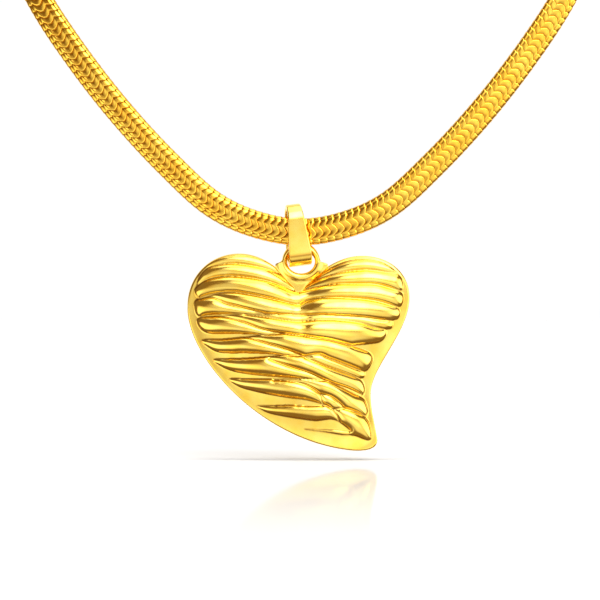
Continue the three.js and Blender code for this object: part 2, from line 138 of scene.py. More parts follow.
class Nodes:
    """Short calls for adding to and linking up one node tree."""

    def __init__(self, tree):
        self.tree = tree

    def add(self, kind, **settings):
        node = self.tree.nodes.new(kind)
        for key, value in settings.items():
            setattr(node, key, value)
        return node

    def link(self, source, target):
        self.tree.links.new(source, target)

    def noise(self, vector, scale, detail=4.0):
        node = self.add("ShaderNodeTexNoise")
        node.inputs["Scale"].default_value = scale
        node.inputs["Detail"].default_value = detail
        self.link(vector, node.inputs["Vector"])
        return node.outputs["Fac"]

    def stretched(self, vector, scale):
        node = self.add("ShaderNodeMapping")
        node.inputs["Scale"].default_value = scale
        self.link(vector, node.inputs["Vector"])
        return node.outputs["Vector"]

    def ranged(self, value, low, high, to_low, to_high):
        node = self.add("ShaderNodeMapRange")
        for socket, number in zip(node.inputs[1:5], (low, high, to_low, to_high)):
            socket.default_value = number
        self.link(value, node.inputs["Value"])
        return node.outputs["Result"]

    def times(self, first, *others):
        for other in others:
            node = self.add("ShaderNodeMath", operation="MULTIPLY")
            self.link(first, node.inputs[0])
            self.link(other, node.inputs[1])
            first = node.outputs[0]
        return first

    def mixed(self, amount, first, second):
        node = self.add("ShaderNodeMix", data_type="RGBA")
        self.link(amount, node.inputs["Factor"])
        colours = [s for s in node.inputs if s.type == "RGBA"]
        for socket, colour in zip(colours, (first, second)):
            if isinstance(colour, tuple):
                socket.default_value = (*colour, 1.0)
            else:
                self.link(colour, socket)
        return [s for s in node.outputs if s.type == "RGBA"][0]


GOLD_LIGHT = (1.0, 0.72, 0.15)
GOLD_DEEP = (1.0, 0.64, 0.09)
# painted shade: the dark colour that creases, tucked-in link backs and the strap's fold are darkened towards
GOLD_PAINTED_SHADE = (0.34, 0.12, 0.01)
CHAIN_LIGHT = (1.0, 0.63, 0.08)
CHAIN_DEEP = (1.0, 0.55, 0.05)


def metal(name, light, deep, painted_shade=None, roughness=(0.10, 0.2), grain=(1, 1, 1), bump=0.0025):
    """Polished metal: uneven tint, fine wear lines, and painted shade in the creases that a mesh attribute
    picks out.
    """
    material = bpy.data.materials.new(name)
    material.use_nodes = True
    nodes = Nodes(material.node_tree)
    shader = material.node_tree.nodes["Principled BSDF"]
    shader.inputs["Metallic"].default_value = 1.0
    place = nodes.add("ShaderNodeTexCoord").outputs["Object"]
    colour = nodes.mixed(nodes.ranged(nodes.noise(place, 420.0), 0.35, 0.65, 0.0, 1.0), light, deep)
    if painted_shade:
        # painted shade: the mesh attribute darkens the base colour towards the shade colour
        painted_shade_marks = nodes.add("ShaderNodeAttribute", attribute_name="painted_shade").outputs["Fac"]
        colour = nodes.mixed(painted_shade_marks, colour, painted_shade)
    nodes.link(colour, shader.inputs["Base Color"])
    fine = nodes.noise(nodes.stretched(place, grain), 5200.0, 6.0)
    nodes.link(nodes.ranged(fine, 0.3, 0.7, *roughness), shader.inputs["Roughness"])
    relief = nodes.add("ShaderNodeBump")
    relief.inputs["Strength"].default_value = 0.25
    relief.inputs["Distance"].default_value = bump * MM
    nodes.link(fine, relief.inputs["Height"])
    nodes.link(relief.outputs["Normal"], shader.inputs["Normal"])
    return material


heart_gold = metal("heart_gold", GOLD_LIGHT, GOLD_DEEP, GOLD_PAINTED_SHADE, (0.09, 0.16))
chain_gold = metal("chain_gold", CHAIN_LIGHT, CHAIN_DEEP, GOLD_PAINTED_SHADE, (0.12, 0.22))
fitting_gold = metal("fitting_gold", GOLD_LIGHT, GOLD_DEEP, None, (0.10, 0.18))
brushed_gold = metal("brushed_gold", GOLD_LIGHT, GOLD_DEEP, None, (0.22, 0.42), (0.06, 1, 1), 0.012)
spring_steel = metal("spring_steel", (0.62, 0.62, 0.63), (0.52, 0.52, 0.54), None, (0.2, 0.32))

# ---- The chain ----

# The route of the chain's right half, from the middle of the front; the left half mirrors it.
HALF_ROUTE = (
    (0, 0, 0), (6.5, 0, 1.1), (12.6, 0, 3.9), (19.5, 0, 10.1), (26.3, 0, 17.5), (32.6, 0.1, 25.6),
    (38, 0.5, 33.8), (42.6, 2, 43), (46.4, 4.5, 53.5), (49.2, 8.2, 64.5), (50.6, 13.2, 76),
    (50.4, 19.4, 87.5), (48.3, 26.3, 98.3), (44.3, 32.8, 107.7), (38.6, 38.6, 115),
    (31.2, 43.2, 120.6), (22.4, 46.4, 124), (12.8, 48.3, 125.6),
)


def smooth_route(points, steps=200):
    """A centripetal Catmull-Rom curve through the points, as a dense polyline."""
    points = np.asarray(points, float)
    first = 2 * points[0] - points[1]
    last = 2 * points[-1] - points[-2]
    padded = np.vstack((first, points, last))
    t = np.linspace(0, 1, steps, endpoint=False)[:, None]
    stretches = []
    for i in range(len(points) - 1):
        p0, p1, p2, p3 = padded[i:i + 4]
        d0, d1, d2 = (math.sqrt(np.linalg.norm(b - a)) for a, b in ((p0, p1), (p1, p2), (p2, p3)))
        start = ((p1 - p0) / d0 - (p2 - p0) / (d0 + d1) + (p2 - p1) / d1) * d1
        end = ((p2 - p1) / d1 - (p3 - p1) / (d1 + d2) + (p3 - p2) / d2) * d1
        square = -3 * p1 + 3 * p2 - 2 * start - end
        cube = 2 * p1 - 2 * p2 + start + end
        stretches.append(p1 + start * t + square * t ** 2 + cube * t ** 3)
    return np.vstack((*stretches, points[-1]))


CHAIN_ROLL = 0.12  # radians that the chain's face turns away from the middle on either side
ROLL_WITHIN = 30.0  # millimetres from the middle by which it has turned all the way

ROUTE = smooth_route([(-x, y, z) for x, y, z in HALF_ROUTE[:0:-1]] + list(HALF_ROUTE))
ROUTE_ALONG = np.concatenate(([0.0], np.cumsum(np.linalg.norm(np.diff(ROUTE, axis=0), axis=1))))
HALF_LENGTH = ROUTE_ALONG[-1] / 2
ROUTE_ALONG -= HALF_LENGTH


def route_points(along):
    return np.stack([np.interp(along, ROUTE_ALONG, ROUTE[:, k]) for k in range(3)], axis=-1)


def unit(vectors):
    return vectors / np.linalg.norm(vectors, axis=-1, keepdims=True)


def chain_frames(along):
    """Points, tangents, outward face normals and width axes at distances from the front's middle."""
    along = np.asarray(along, float)
    inside = np.clip(along, 0.1 - HALF_LENGTH, HALF_LENGTH - 0.1)
    tangent = unit(route_points(inside + 0.05) - route_points(inside - 0.05))
    point = route_points(inside) + tangent * (along - inside)[..., None]
    flat = np.stack((tangent[..., 1], -tangent[..., 0], np.zeros_like(along)), axis=-1)
    level = unit(flat)
    width = unit(np.cross(level, tangent))
    turn = -CHAIN_ROLL * smoothstep(np.abs(along) / ROLL_WITHIN)[..., None]
    normal = level * np.cos(turn) + width * np.sin(turn)
    return point, tangent, normal, unit(np.cross(normal, tangent))


# Where a link's lip runs across the chain: height across the width, then how far ahead in pitches.
LIP_HEIGHT = (-1.0, -0.66, -0.60, -0.48, -0.32, -0.14, 0.06, 0.30, 0.50, 0.70, 0.78, 1.0)
LIP_AHEAD = (-0.58, -0.50, -0.66, -0.42, -0.04, 0.10, -0.08, -0.48, -0.26, 0.0, -0.12, 0.05)
# From a link's tucked-in back to its lip: distance behind the lip in pitches, depth in millimetres.
LINK_PROFILE = (
    (-1.30, 0.34), (-1.05, 0.20), (-0.80, 0.115), (-0.50, 0.05), (-0.25, 0.01), (-0.10, 0.0),
    (-0.025, 0.03), (0.0, 0.09), (-0.02, 0.34),
)
EDGE_GROOVES = ((0.74, 0.10), (-0.62, 0.12))  # height across the width, depth
EDGE_CALM = 0.4  # the long edges step in less than the faces do
FRONT_STEPS = 30
BACK_STEPS = 14


def link_section():
    """The link's outline as height across the width from -1 to 1, and offset from the middle plane."""
    front = -np.cos(np.linspace(0, math.pi, FRONT_STEPS + 1)) * 0.25
    front = front + np.linspace(-1, 1, FRONT_STEPS + 1) * 0.75
    back = np.linspace(1, -1, BACK_STEPS + 1)[1:-1]
    half = CHAIN_THICKNESS / 2
    bulge = half * (1 - np.abs(front) ** 5) ** 0.5
    for height, depth in EDGE_GROOVES:
        bulge = bulge - depth * np.exp(-((front - height) / 0.05) ** 2) * (bulge > 0.3)
    rear = -half * (1 - np.abs(back) ** 5) ** 0.5
    return np.concatenate((front, back)), np.concatenate((bulge, rear))


def chain_stretch(name, start, end, material):
    """Overlapping links, each a sleeve whose lip covers the back of the next one."""
    height, offset = link_section()
    count = round((end - start) / LINK_PITCH)
    pitch = (end - start) / count
    behind, depth = (np.array(column)[None, :, None] for column in zip(*LINK_PROFILE))
    number = np.arange(1, count + 1)[:, None, None]
    lip = np.interp(height, LIP_HEIGHT, LIP_AHEAD)[None, None, :]
    along = start + pitch * (number + lip + behind)
    point, _, normal, width = chain_frames(along)
    half_width, half_thick = CHAIN_WIDTH / 2, CHAIN_THICKNESS / 2
    across = height * half_width * (1 - EDGE_CALM * depth / half_width)
    outward = offset * (1 - depth / half_thick)
    places = point + normal * outward[..., None] + width * across[..., None]
    rows, columns = len(LINK_PROFILE), len(height)
    faces = []
    for k in range(count):
        first = k * rows * columns
        faces += grid_faces(rows, columns, first)
        faces.append(tuple(range(first + columns - 1, first - 1, -1)))
        faces.append(tuple(range(first + (rows - 1) * columns, first + rows * columns)))
    chain = mesh_object(name, places.reshape(-1, 3), faces, material)
    # painted shade: each link darkens towards its back, where it tucks under the lip of the link ahead
    painted_shade_marks = smoothstep((depth - 0.03) / 0.2) * np.ones_like(along)
    set_attribute(chain, "painted_shade", painted_shade_marks.ravel())
    return chain


def declare_chain(chain, start, end, *nodes):
    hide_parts(*nodes)


def build_chain():
    near = STRETCH_ENDS[0]
    front = chain_stretch("chain_front_links", -near, near, chain_gold)
    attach(front, "chain_front")
    declare_chain(front, -near, near, "chain_front")
    ends = (*STRETCH_ENDS, HALF_LENGTH)
    for side, label in ((-1, "left"), (1, "right")):
        for k, hinge in enumerate(HINGE_ALONG):
            start, end = sorted((side * ends[k], side * ends[k + 1]))
            piece = chain_stretch(f"chain_{label}_links_{k + 1}", start, end, chain_gold)
            declare_chain(piece, start, end, f"chain_{label}_{k + 1}")
            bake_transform(piece)


# ---- The heart ----

# Bezier stretches of the outline from the cleft, as (first handle, second handle, end), x and z.
HEART_START = (-0.4, -8.4)
HEART_CURVES = (
    ((-2.6, -5.6), (-5.4, -3.1), (-9.0, -3.1)),
    ((-13.2, -3.1), (-16.5, -6.3), (-16.5, -10.7)),
    ((-16.9, -17.8), (-6.0, -30.5), (7.5, -31.75)),
    ((10.0, -31.9), (11.3, -31.3), (11.05, -30.0)),
    ((10.85, -28.3), (10.0, -25.5), (10.15, -23.2)),
    ((10.35, -19.5), (15.75, -14.5), (15.75, -9.5)),
    ((15.75, -5.6), (12.5, -3.4), (8.8, -3.45)),
    ((5.4, -3.4), (2.0, -6.0), (-0.4, -8.4)),
)

# The edge of the ribbed part: round or pointed rib ends, with the smooth border running in between them.
RIB_ENDS = (
    (-0.8, -8.3), (-1.5, -7.5), (-3, -5.6), (-4.8, -4.3), (-7, -3.5), (-9.5, -3.3), (-12, -3.8),
    (-13.9, -5), (-14.8, -6.3), (-15.0, -7.4), (-15.35, -8.2), (-15.4, -8.9), (-15.0, -9.6),
    (-15.4, -10.2), (-15.4, -11.2), (-15.2, -11.9), (-14.8, -12.4), (-15.1, -12.9), (-14.9, -13.6),
    (-14.1, -14.4), (-12.9, -14.7), (-11, -14.7), (-6, -14.9), (-8.5, -15.3), (-11.5, -15.6),
    (-14.5, -15.8), (-13.6, -16.6), (-12.3, -17.3), (-10.5, -17.5), (-7.8, -17.5), (-3, -17.8),
    (-7.8, -18.3), (-10.3, -18.4), (-12.8, -18.6), (-11.5, -19.5), (-10, -20.1), (-7.8, -20.5),
    (-5, -20.8), (0, -21.2), (-5, -21.3), (-7.8, -21.3), (-10.5, -21.4), (-9, -22.4), (-7.3, -22.9),
    (-5, -23.4), (-2, -23.9), (1, -24.3), (3.5, -25.1), (1, -25.2), (-1.5, -25.1), (-4, -25.2),
    (-6.4, -25.3), (-5, -26.1), (-2.8, -26.6), (-0.3, -27), (2.2, -27.3), (4.5, -27.1), (5.7, -27.6),
    (7.2, -28.9), (4.7, -28.7), (0.5, -28.6), (3.5, -29), (6, -29.4), (7.8, -29.5), (9.1, -30),
    (9.9, -30.2), (10.2, -29.9), (10.1, -28.5), (9.8, -27.5), (9.4, -26.9), (9.7, -26.1), (9.5, -25),
    (9.2, -24.3), (8.7, -23.9), (9.2, -23.3), (9.2, -22.4), (8.9, -21.7), (8.6, -21.3), (9.2, -21.0),
    (9.3, -20.6), (9.2, -20.3), (9.8, -19.8), (10.3, -18.9), (10.4, -18.2), (10.0, -17.6),
    (9.0, -17.1), (7.5, -16.5), (9.7, -16.2), (11.4, -15.9), (12.2, -15.2), (12.4, -14.6),
    (12.3, -14.15), (13.1, -13.95), (13.35, -13.4), (13.2, -12.85), (14.1, -12.5), (14.45, -11.7),
    (14.2, -10.95), (14.7, -10.5), (14.9, -9.7), (14.8, -9.1), (14.4, -8.6), (14.8, -8.2),
    (14.8, -7.4), (14.6, -6.7), (14.1, -6.1), (13.5, -5.4), (12, -4.5), (9.7, -4), (7.2, -4.1),
    (5, -4.9), (3.2, -6), (1.5, -7.4), (0.1, -8.2),
)

# The creases between the puffed ribs, each a smooth line through a few points, x and z.
CREASES = (
    # Under the ribs that start round on the left and run out to a point on the right.
    ((-15.1, -7.3), (-13.8, -5.4), (-10.9, -4.6), (-7.6, -4.8), (-4.2, -5.6), (-2.0, -6.8), (-0.7, -8.3)),
    ((-15.4, -8.3), (-14.2, -7.2), (-12.5, -6.6), (-9.8, -6.4), (-5.3, -7.0), (-2.0, -8.1), (-0.6, -8.7)),
    ((-15.0, -9.6), (-13.1, -9.0), (-9.8, -8.7), (-7.6, -9.0), (-4.2, -9.7), (-0.4, -10.6)),
    ((-15.3, -9.9), (-12.8, -9.5), (-10.9, -10.3), (-8.7, -10.95), (-6.45, -11.5), (-4.7, -11.9)),
    ((-14.8, -12.4), (-14.0, -12.1), (-10.9, -11.9), (-8.0, -11.9), (-4.7, -11.9), (-0.4, -12.0)),
    ((-8.2, -12.0), (-4.8, -12.4), (-2.6, -12.75), (-0.4, -13.0)),
    ((-14.8, -12.4), (-13.0, -12.3), (-11.3, -12.3), (-8.1, -13.1), (-5.3, -14.2), (-2.35, -14.7)),
    ((-6.0, -14.9), (-4.2, -14.85), (-2.35, -14.7)),
    ((-8.5, -15.3), (-7.4, -15.4), (-4.2, -16.35), (-1.7, -17.2), (0.5, -18.0)),
    ((-3.0, -17.8), (-1.2, -17.9), (0.5, -18.0)),
    ((-4.6, -18.4), (-1.7, -19.5), (1.1, -20.4), (3.85, -21.6), (6.5, -22.5), (8.7, -23.5)),
    ((0.0, -21.2), (2.0, -21.4), (3.85, -21.6)),
    ((-4.1, -21.5), (-1.7, -21.6), (0.5, -22.1), (2.0, -22.9), (2.8, -23.6), (3.1, -24.6), (4.2, -25.3)),
    ((2.6, -23.4), (4.2, -23.8), (5.4, -24.6), (6.25, -25.5)),
    ((3.5, -25.1), (4.6, -25.6), (6.25, -25.6), (8.0, -26.1), (9.4, -26.8)),
    ((4.6, -25.7), (5.2, -26.6), (5.7, -27.6)),
    # Under the ribs that start in a point on the left and end round on the right.
    ((0.3, -8.2), (3.2, -6.6), (5.4, -5.9), (7.6, -5.6), (9.8, -5.5), (12.4, -5.85), (14.1, -6.1)),
    ((-0.6, -8.7), (2.1, -8.0), (4.3, -7.6), (7.6, -7.5), (10.95, -7.6), (13.2, -8.2), (14.4, -8.6)),
    ((-0.4, -10.6), (0.6, -10.0), (2.1, -9.6), (4.3, -9.5), (7.6, -9.6), (10.95, -10.0), (14.2, -10.95)),
    ((-0.4, -12.0), (2.0, -12.0), (4.85, -12.1), (9.3, -12.4), (11.5, -12.7), (13.2, -12.85)),
    ((-0.4, -13.0), (2.1, -12.75), (4.85, -12.75), (8.7, -13.2), (10.6, -13.8), (12.3, -14.15)),
    ((-2.35, -14.7), (0.0, -15.0), (2.0, -15.3), (4.0, -15.6), (6.0, -16.1), (7.5, -16.5)),
    ((0.5, -18.0), (2.7, -17.7), (3.85, -18.2), (6.25, -19.1), (8.0, -19.8), (9.2, -20.3)),
    ((0.5, -18.2), (2.0, -18.8), (5.7, -20.2), (8.6, -21.3)),
    ((3.85, -21.6), (6.6, -22.9), (7.9, -23.6), (8.7, -23.9)),
)


def bezier(start, curves, steps=60):
    t = np.linspace(0, 1, steps, endpoint=False)[:, None]
    points = []
    p0 = np.array(start)
    for curve in curves:
        p1, p2, p3 = (np.array(p) for p in curve)
        points.append((1 - t) ** 3 * p0 + 3 * (1 - t) ** 2 * t * p1 + 3 * (1 - t) * t ** 2 * p2 + t ** 3 * p3)
        p0 = p3
    return np.vstack(points)


def spaced(points, count, closed=True):
    """The same line with its points evenly spaced."""
    line = np.vstack((points, points[:1])) if closed else points
    along = np.concatenate(([0.0], np.cumsum(np.linalg.norm(np.diff(line, axis=0), axis=1))))
    at = np.linspace(0, along[-1], count, endpoint=not closed)
    return np.stack([np.interp(at, along, line[:, k]) for k in range(line.shape[1])], axis=-1)


HEART_OUTLINE = bezier(HEART_START, HEART_CURVES)


def rib_border():
    return smooth_route((*RIB_ENDS, RIB_ENDS[0]), 10)[:-1]


def inside_line(points, line):
    """Whether each point is inside the closed line, by counting the edges to its right."""
    inside = np.zeros(len(points), bool)
    x, z = points.T
    for (x1, z1), (x2, z2) in zip(line, np.roll(line, -1, axis=0)):
        crosses = (z1 > z) != (z2 > z)
        with np.errstate(divide="ignore", invalid="ignore"):
            at = x1 + (z - z1) * (x2 - x1) / (z2 - z1)
        inside ^= crosses & (x < at)
    return inside


def blurred(field):
    for side in (0, 1, 0, 1):
        field = (np.roll(field, 1, side) + 2 * field + np.roll(field, -1, side)) / 4
    return field


def rib_field():
    """The ribs over a square grid, as soft tubes between the creases, and where the creases lie."""
    low = HEART_OUTLINE.min(axis=0) - 1
    counts = ((HEART_OUTLINE.max(axis=0) + 1 - low) / CELL).astype(int)
    across, up = (low[k] + CELL * np.arange(counts[k]) for k in (0, 1))
    grid = np.stack(np.meshgrid(across, up, indexing="ij"), axis=-1)
    free = inside_line(grid.reshape(-1, 2), rib_border()).reshape(grid.shape[:2])
    creases = np.zeros(free.shape)
    for line in (*CREASES, (*RIB_ENDS, RIB_ENDS[0])):
        dense = spaced(smooth_route(line, 12), 6000, closed=False)
        cells = np.round((dense - low) / CELL).astype(int)
        free[cells[:, 0], cells[:, 1]] = False
        creases[cells[:, 0], cells[:, 1]] = 2.0
    swell = np.zeros(free.shape)
    for _ in range(SWELL_ROUNDS):
        sides = np.roll(swell, 1, 0) + np.roll(swell, -1, 0) + np.roll(swell, 1, 1) + np.roll(swell, -1, 1)
        swell = np.where(free, (sides + CELL ** 2) / 4, 0.0)
    ribs = RIB_ROUNDNESS * (2 * swell) ** RIB_POWER
    return low, blurred(ribs), np.minimum(blurred(creases), 1)


def sampled(field, low, points):
    """The grid's values at points that lie between its cells."""
    place = (points - low) / CELL
    cell = np.floor(place).astype(int)
    part = place - cell
    i, j = cell[..., 0], cell[..., 1]
    u, v = part[..., 0], part[..., 1]
    near = field[i, j] * (1 - u) + field[i + 1, j] * u
    far = field[i, j + 1] * (1 - u) + field[i + 1, j + 1] * u
    return near * (1 - v) + far * v


def dome(share):
    return DOME_HEIGHT * np.clip(1 - share ** 2, 0, 1) ** 1.5


def calmed(heights, rounds):
    """Evens the heights over a polar grid whose columns close on themselves."""
    for _ in range(rounds):
        inner = np.vstack((heights[:1], heights[:-1]))
        outer = np.vstack((heights[1:], heights[-1:]))
        heights = (2 * heights + inner + outer + np.roll(heights, 1, 1) + np.roll(heights, -1, 1)) / 6
    return heights


def heart_surface(spokes, shares):
    """Places over the front: points on the plane, height above the back and how dark the painted shade in the
    crease is.
    """
    rim = spaced(HEART_OUTLINE, spokes)
    plane = HEART_CENTRE + (rim - HEART_CENTRE)[None] * shares[:, None, None]
    low, field, creases = rib_field()
    ribs = sampled(field, low, plane)
    # painted shade along the creases between the ribs and along their border
    painted_crease_shade = CREASE_SHADE * sampled(creases, low, plane)
    reach = np.linalg.norm(rim - HEART_CENTRE, axis=1)
    evened = np.mean([np.roll(reach, k) for k in range(-CLEFT_SOFTNESS, CLEFT_SOFTNESS + 1)], axis=0)
    height = FLANGE_HEIGHT - 0.1 + dome(shares[:, None] * reach / evened) + ribs
    return plane, calmed(height, 1), painted_crease_shade


def build_heart_front():
    spokes = 720
    shares = np.concatenate((np.linspace(0.006, 0.9, 130), np.linspace(0.905, 0.985, 17)))
    plane, height, painted_crease_shade = heart_surface(spokes, shares)
    rim = spaced(HEART_OUTLINE, spokes)
    rows = [np.dstack((plane[..., 0], HEART_BACK_Y - height, plane[..., 1]))]
    edge = ((0.995, 0.72), (1.0, 0.5), (1.0, 0.15), (0.992, 0.0), (0.95, 0.0))
    for share, level in edge:
        ring = HEART_CENTRE + (rim - HEART_CENTRE) * share
        rows.append(np.stack((ring[:, 0], np.full(spokes, HEART_BACK_Y - level), ring[:, 1]), axis=-1)[None])
    inner_shares = np.linspace(0.9, 0.02, 20)
    inner = HEART_CENTRE + (rim - HEART_CENTRE)[None] * inner_shares[:, None, None]
    hollow = np.maximum(0.0, dome(inner_shares)[:, None] + 0.2) * np.ones((1, spokes))
    rows.append(np.dstack((inner[..., 0], HEART_BACK_Y - hollow, inner[..., 1])))
    points = np.vstack(rows)
    count = len(points)
    faces = grid_faces(count, spokes)
    faces.append(tuple(range(spokes - 1, -1, -1)))
    faces.append(tuple(range((count - 1) * spokes, count * spokes)))
    heart = mesh_object("heart_front", points.reshape(-1, 3), faces, heart_gold)
    # painted shade in the creases, on the front rows only
    painted_shade_marks = np.zeros((count, spokes))
    painted_shade_marks[:len(shares)] = painted_crease_shade
    set_attribute(heart, "painted_shade", painted_shade_marks.ravel())
    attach(heart, "pendant")
    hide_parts("heart_front_shell")


def build_heart_back():
    spokes = 360
    rim = spaced(HEART_OUTLINE, spokes)
    profile = (
        (0.02, 0.0), (0.5, 0.0), (0.955, 0.0), (0.975, 0.05), (0.985, 0.16), (0.985, 0.42), (0.978, 0.52),
        (0.962, 0.585), (0.94, 0.6), (0.6, 0.6), (0.3, 0.6), (0.02, 0.6),
    )
    rows = []
    for share, level in profile:
        ring = HEART_CENTRE + (rim - HEART_CENTRE) * share
        y = HEART_BACK_Y + FIT + level
        rows.append(np.stack((ring[:, 0], np.full(spokes, y), ring[:, 1]), axis=-1))
    faces = grid_faces(len(rows), spokes)
    faces.append(tuple(range(spokes - 1, -1, -1)))
    faces.append(tuple(range((len(rows) - 1) * spokes, len(rows) * spokes)))
    plate = mesh_object("heart_back", np.vstack(rows), faces, brushed_gold, sharp=40)
    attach(plate, "pendant")
    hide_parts("heart_back_plate")


# ---- The bail ----


def rounded_section(half_width, half_height, bevel, steps=4):
    """A rectangle with rounded corners and a point on each flat just past every corner."""
    points = []
    for quarter in range(4):
        middle = (quarter + 0.5) * math.pi / 2
        x = math.copysign(half_width - bevel, math.cos(middle))
        y = math.copysign(half_height - bevel, math.sin(middle))
        arc = [(quarter + k / steps) * math.pi / 2 for k in range(steps + 1)]
        corner = [(x + bevel * math.cos(turn), y + bevel * math.sin(turn)) for turn in arc]
        back, ahead = arc[0] - math.pi / 2, arc[-1] + math.pi / 2
        points.append((corner[0][0] + 0.08 * math.cos(back), corner[0][1] + 0.08 * math.sin(back)))
        points += corner
        points.append((corner[-1][0] + 0.08 * math.cos(ahead), corner[-1][1] + 0.08 * math.sin(ahead)))
    return points


def build_bail():
    """A strap folded into a tall loop, wider at the bottom and darkened with painted shade where it begins to
    fold under, with softened edges.
    """
    top_r = BAIL_HALF_DEPTH - STRAP / 2
    low_r = BAIL_LOW_HALF_DEPTH - STRAP / 2
    top_z = BAIL_TOP - BAIL_HALF_DEPTH
    low_z = BAIL_BOTTOM + BAIL_LOW_HALF_DEPTH
    stations = []
    for turn in np.linspace(0, math.pi, 25):
        stations.append((top_r * math.cos(turn), top_z + top_r * math.sin(turn), turn))
    for turn in np.linspace(math.pi, 2 * math.pi, 25):
        stations.append((low_r * math.cos(turn), low_z + low_r * math.sin(turn), turn))
    rows = []
    # painted shade in a band where the strap begins to fold under at the front
    painted_fold_shade = [BAIL_SHADE * math.exp(-((turn - math.pi - 0.22) / 0.1) ** 2) for _, _, turn in stations]
    for y, z, turn in stations:
        widening = (BAIL_BOTTOM_WIDTH - BAIL_TOP_WIDTH) * min(1.0, (BAIL_TOP + 1 - z) / (BAIL_TOP + 4))
        section = rounded_section((BAIL_TOP_WIDTH + widening) / 2, STRAP / 2, STRAP_BEVEL)
        rows.append([(x, y + math.cos(turn) * out, z + math.sin(turn) * out) for x, out in section])
    points = np.array(rows)
    points[..., 2] -= EYELET_Z
    cos, sin = math.cos(BAIL_LEAN), math.sin(BAIL_LEAN)
    x, z = points[..., 0].copy(), points[..., 2].copy()
    points[..., 0] = x * cos - z * sin
    points[..., 2] = x * sin + z * cos + EYELET_Z
    cos, sin = math.cos(BAIL_TURN), math.sin(BAIL_TURN)
    x, y = points[..., 0].copy(), points[..., 1].copy()
    points[..., 0] = x * cos - y * sin + BAIL_SHIFT
    points[..., 1] = x * sin + y * cos
    faces = grid_faces(points.shape[0], points.shape[1], loop_rows=True)
    bail = mesh_object("bail_strap", points.reshape(-1, 3), faces, heart_gold, sharp=50)
    set_attribute(bail, "painted_shade", np.repeat(painted_fold_shade, points.shape[1]))
    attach(bail, "bail")
    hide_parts("bail")


# ---- Flat pieces with rounded edges ----


def plate(outline, holes, thickness, bevel):
    """A temporary flat piece in millimetres; outline and holes are lists of (x, y)."""
    curve = bpy.data.curves.new("plate", "CURVE")
    curve.dimensions = "2D"
    curve.fill_mode = "BOTH"
    curve.extrude = thickness / 2 - bevel
    curve.bevel_depth = bevel
    curve.bevel_resolution = 3
    curve.offset = -bevel
    for points in (outline, *holes):
        spline = curve.splines.new("POLY")
        spline.points.add(len(points) - 1)
        for point, (x, y) in zip(spline.points, points):
            point.co = (x, y, 0, 1)
        spline.use_cyclic_u = True
    source = bpy.data.objects.new("plate", curve)
    mesh = bpy.data.meshes.new_from_object(source)
    bpy.data.objects.remove(source)
    work = bmesh.new()
    work.from_mesh(mesh)
    bmesh.ops.remove_doubles(work, verts=work.verts, dist=1e-4)
    work.to_mesh(mesh)
    work.free()
    return temporary(mesh)


def temporary(mesh):
    obj = bpy.data.objects.new("temporary", mesh)
    bpy.context.scene.collection.objects.link(obj)
    return obj


def block(size, centre):
    work = bmesh.new()
    bmesh.ops.create_cube(work, size=1.0)
    bmesh.ops.scale(work, vec=size, verts=work.verts)
    bmesh.ops.translate(work, vec=centre, verts=work.verts)
    mesh = bpy.data.meshes.new("block")
    work.to_mesh(mesh)
    work.free()
    return temporary(mesh)


def combined(obj, tool, operation):
    """The first piece with the second cut from it or joined to it; both temporaries are used up."""
    change = obj.modifiers.new("change", "BOOLEAN")
    change.operation = operation
    change.solver = "EXACT"
    change.object = tool
    bpy.context.view_layer.update()
    mesh = bpy.data.meshes.new_from_object(obj.evaluated_get(bpy.context.evaluated_depsgraph_get()))
    bpy.data.objects.remove(obj)
    bpy.data.objects.remove(tool)
    return temporary(mesh)


def finished(obj, name, place, material, body, node):
    """Turns a temporary piece into a real one, put at its place in the frame, in millimetres."""
    mesh = obj.data
    bpy.data.objects.remove(obj)
    mesh.name = name
    mesh.transform(Matrix.Scale(MM, 4) @ place)
    mesh.materials.clear()
    mesh.materials.append(material)
    mesh.shade_smooth()
    mesh.set_sharp_from_angle(angle=math.radians(48))
    piece = bpy.data.objects.new(name, mesh)
    bpy.context.scene.collection.objects.link(piece)
    piece.modifiers.new("even_shading", "WEIGHTED_NORMAL").keep_sharp = True
    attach(piece, body)
    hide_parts(node)
    return piece


def basis(origin, x_axis, y_axis, z_axis):
    matrix = Matrix.Identity(4)
    for column, axis in enumerate((x_axis, y_axis, z_axis, origin)):
        for row in range(3):
            matrix[row][column] = axis[row]
    return matrix


def ellipse(x, y, wide, tall, start=0.0, end=2 * math.pi, steps=40):
    turns = np.linspace(start, end, steps, endpoint=abs(end - start) < 2 * math.pi - 1e-6)
    return [(x + wide * math.cos(turn), y + tall * math.sin(turn)) for turn in turns]


def bent(start, *curves, steps=10):
    """An outline from straight, quadratic or cubic stretches, given by their handles and ends."""
    points = [start]
    for curve in curves:
        if len(curve) == 1:
            points.append(curve[0])
            continue
        handles = [np.array(points[-1]), *(np.array(p) for p in curve)]
        for t in np.linspace(0, 1, steps + 1)[1:]:
            level = handles
            while len(level) > 1:
                level = [(1 - t) * p + t * q for p, q in zip(level, level[1:])]
            points.append(tuple(level[0]))
    return points


# ---- The eyelet in the cleft ----

EYELET_HALF_THICKNESS = 0.55
EYELET_WEB = 0.22  # how much of the ring's thickness the flared web keeps
EYELET_WIRE = 1.2
EYELET_HOLE = (2.0, 1.45, 1.72)  # half width, upper and lower half heights
EYELET_RING = (2.75, 1.95, 2.7)

# The flared foot of the eyelet down into the cleft, x and z, anticlockwise from the right.
EYELET_FLARE = (
    (2.75, -4.0), (3.1, -4.35), (3.75, -4.55), (3.9, -4.85), (3.6, -5.4), (2.6, -6.2), (1.5, -7.1),
    (0.7, -7.9), (0.0, -8.9), (-0.6, -9.0), (-1.1, -8.1), (-1.9, -7.2), (-2.8, -6.2), (-3.5, -5.4),
    (-3.75, -4.85), (-3.6, -4.55), (-3.05, -4.35), (-2.75, -4.0),
)


def oval(turns, wide, high, low):
    """Distances from the middle to an oval whose upper and lower halves differ."""
    tall = np.where(np.sin(turns) > 0, high, low)
    return wide * tall / np.hypot(tall * np.cos(turns), wide * np.sin(turns))


